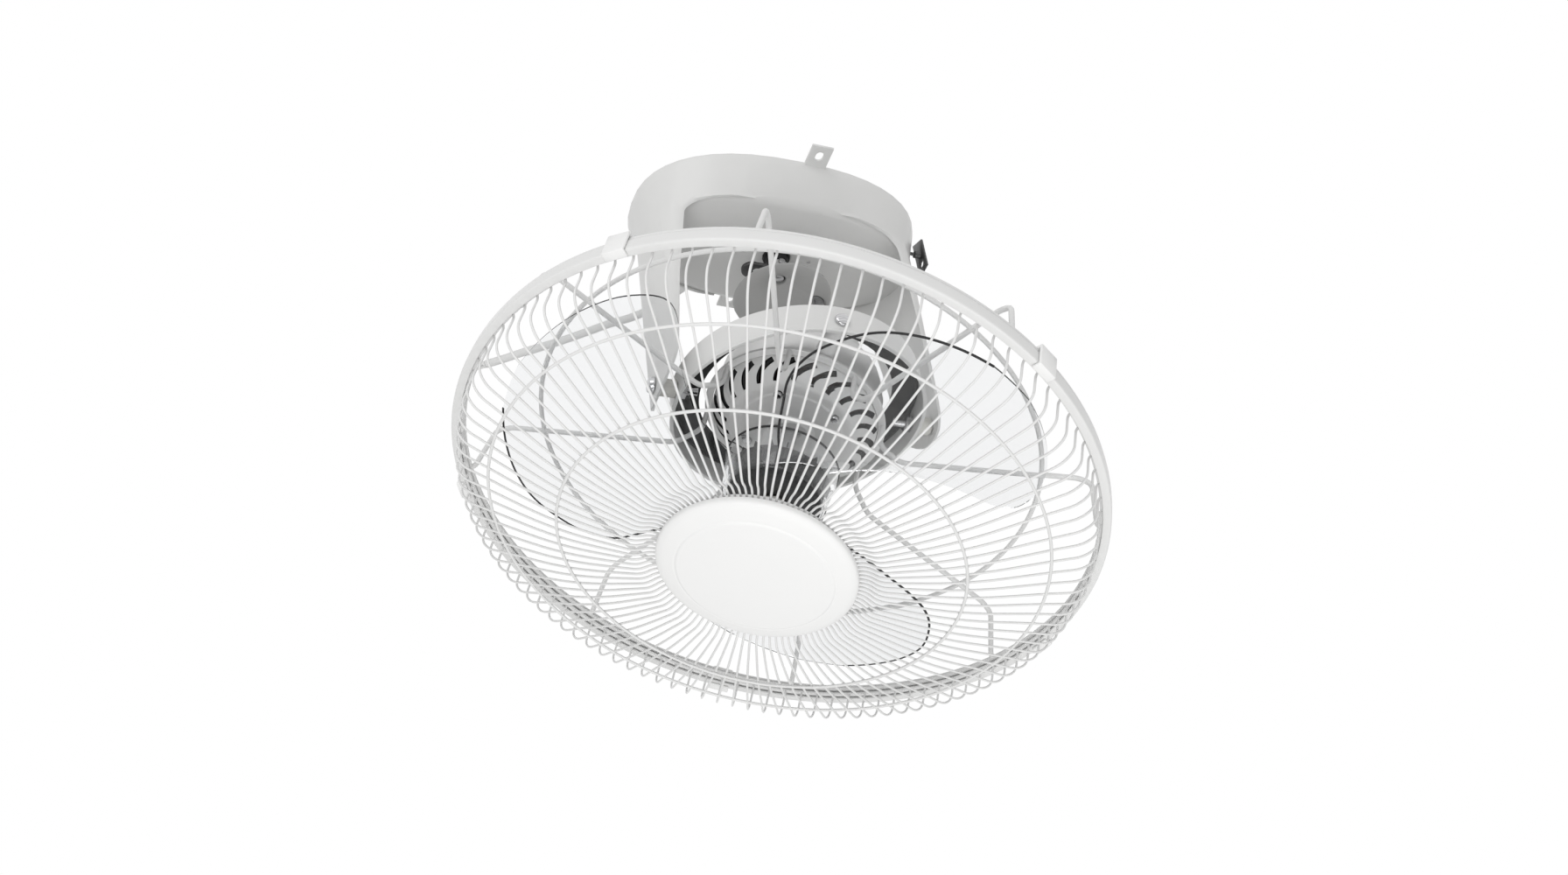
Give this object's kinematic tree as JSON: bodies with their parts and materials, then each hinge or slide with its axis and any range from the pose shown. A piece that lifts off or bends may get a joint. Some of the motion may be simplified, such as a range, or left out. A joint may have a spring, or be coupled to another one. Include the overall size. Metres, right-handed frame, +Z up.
{
  "type": "orbital ceiling fan",
  "caption": "Orbital ceiling fan: oval two-armed bracket, gimbal ring, and a guarded fan head with clear blades that a slow crank leads round.",
  "frame": {"origin": "middle of the bracket's rim, on the ceiling plane that it is screwed against", "axes": "+Z up into the ceiling, X along the line through the two arms and the ring's pivots, with the stored tilt towards -X, and Y along the head's own pivot axis, the picture's near side at -Y"},
  "size_m": [0.4562, 0.4731, 0.3878],
  "materials": {
    "white_paint": "white powder coat",
    "white_plastic": "smooth white",
    "grey_paint": "light grey painted die casting",
    "grey_plastic": "matt grey",
    "black_plastic": "black",
    "bright_steel": "bright plated",
    "dark_steel": "dark",
    "nylon": "natural nylon",
    "copper": "copper wire",
    "lamination": "varnished steel laminations",
    "clear_plastic": "clear, lightly smoked",
    "cord_jacket": "pale flexible sheath"
  },
  "bodies": {
    "ceiling_bracket": {"canopy_bracket": "white_paint", "safety_lug": "dark_steel", "orbit_motor_case": "bright_steel", "orbit_motor_screw_left": "bright_steel", "orbit_motor_screw_right": "bright_steel", "orbit_bush": "black_plastic", "terminal_block": "white_plastic", "run_capacitor": "black_plastic", "cord_gland": "white_plastic", "supply_cord": "cord_jacket", "supply_cord_cores": "cord_jacket", "ring_pivot_bolt_left": "bright_steel", "ring_pivot_bolt_right": "bright_steel", "ring_pivot_bush_left": "nylon", "ring_pivot_bush_right": "nylon", "ring_pivot_nut_left": "bright_steel", "ring_pivot_nut_right": "bright_steel"},
    "crank": {"orbit_shaft": "bright_steel", "orbit_output_gear": "nylon", "crank_hub": "grey_plastic", "crank_set_screw": "bright_steel", "crank_arm": "dark_steel", "crank_cone": "grey_plastic", "crank_pin": "bright_steel"},
    "ring": {"gimbal_ring": "white_paint", "gimbal_liner": "black_plastic"},
    "fan_head": {"motor_rear_bell": "grey_paint", "motor_rear_cap": "grey_paint", "tail_ball": "nylon", "motor_front_bell": "grey_paint", "motor_bell_screw_1": "bright_steel", "motor_bell_screw_2": "bright_steel", "motor_bell_screw_3": "bright_steel", "motor_bell_screw_4": "bright_steel", "stator_core": "lamination", "stator_winding": "copper", "front_bearing": "bright_steel", "rear_bearing": "bright_steel", "head_pivot_screw_near": "bright_steel", "head_pivot_screw_far": "bright_steel", "head_pivot_bush_near": "nylon", "head_pivot_bush_far": "nylon", "rear_guard": "white_paint", "front_guard": "white_paint", "trim_ring": "white_plastic", "guard_clip_1": "white_plastic", "guard_clip_2": "white_plastic", "guard_clip_3": "white_plastic", "guard_clip_4": "white_plastic", "guard_clip_5": "white_plastic", "centre_cap": "white_plastic", "cap_plate": "white_plastic", "cap_screw_1": "bright_steel", "cap_screw_2": "bright_steel"},
    "rotor": {"motor_shaft": "bright_steel", "rotor_core": "lamination", "hub_insert": "black_plastic", "impeller": "clear_plastic", "hub_nut": "nylon"}
  },
  "joints": [
    {"name": "crank_spin", "type": "hinge", "parent": "ceiling_bracket", "child": "crank", "pos_m": [0, 0, -0.0535], "axis": [0, 0, 1], "continuous": true},
    {"name": "ring_tilt", "type": "hinge", "parent": "ceiling_bracket", "child": "ring", "pos_m": [0, 0, -0.196], "axis": [1, 0, 0], "range_deg": [-17, 17]},
    {"name": "head_tilt", "type": "hinge", "parent": "ring", "child": "fan_head", "pos_m": [0, 0, -0.196], "axis": [0, 1, 0], "range_deg": [-34, 0]},
    {"name": "rotor_spin", "type": "hinge", "parent": "fan_head", "child": "rotor", "pos_m": [0, 0, -0.196], "axis": [-0.2924, 0, -0.9563], "continuous": true}
  ]
}
